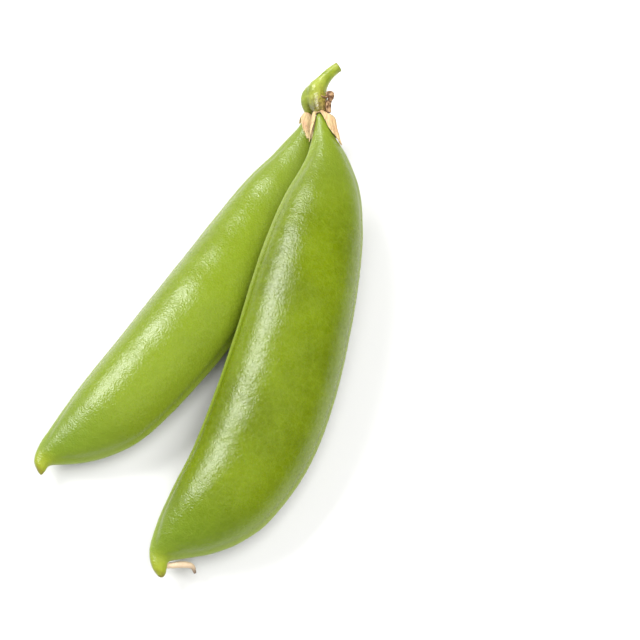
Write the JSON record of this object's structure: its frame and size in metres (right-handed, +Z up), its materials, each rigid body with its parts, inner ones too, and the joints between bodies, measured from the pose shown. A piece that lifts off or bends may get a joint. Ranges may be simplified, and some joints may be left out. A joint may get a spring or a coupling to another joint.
{
  "type": "sugar snap pea pods",
  "caption": "Sugar snap pea pods joined on a short green stalk, plump and beaked, with dried papery calyxes, lying side by side on a surface.",
  "frame": {"origin": "middle of the pair's bounding box, on the surface that the pods lie on", "axes": "+Y from the pods' beaks towards the stalk, along the longest extent; +Z up from the surface, along the shortest extent; +X from the left pod towards the right one"},
  "size_m": [0.051, 0.0838, 0.0148],
  "materials": {
    "pod_skin": "waxy fresh green pod skin, softly glossy and finely dimpled",
    "stalk_skin": "fresh yellow-green stalk, softly glossy",
    "dried_calyx": "dry papery sepals, matt, with fine lengthwise fibres",
    "dried_style": "dry thread, matt",
    "dried_bud": "dry and brown, matt"
  },
  "bodies": {
    "root": {"pod_right": "pod_skin", "pod_left": "pod_skin", "stalk": "stalk_skin", "calyx_right": "dried_calyx", "calyx_left": "dried_calyx", "style_right": "dried_style", "dried_bud": "dried_bud"}
  },
  "joints": []
}
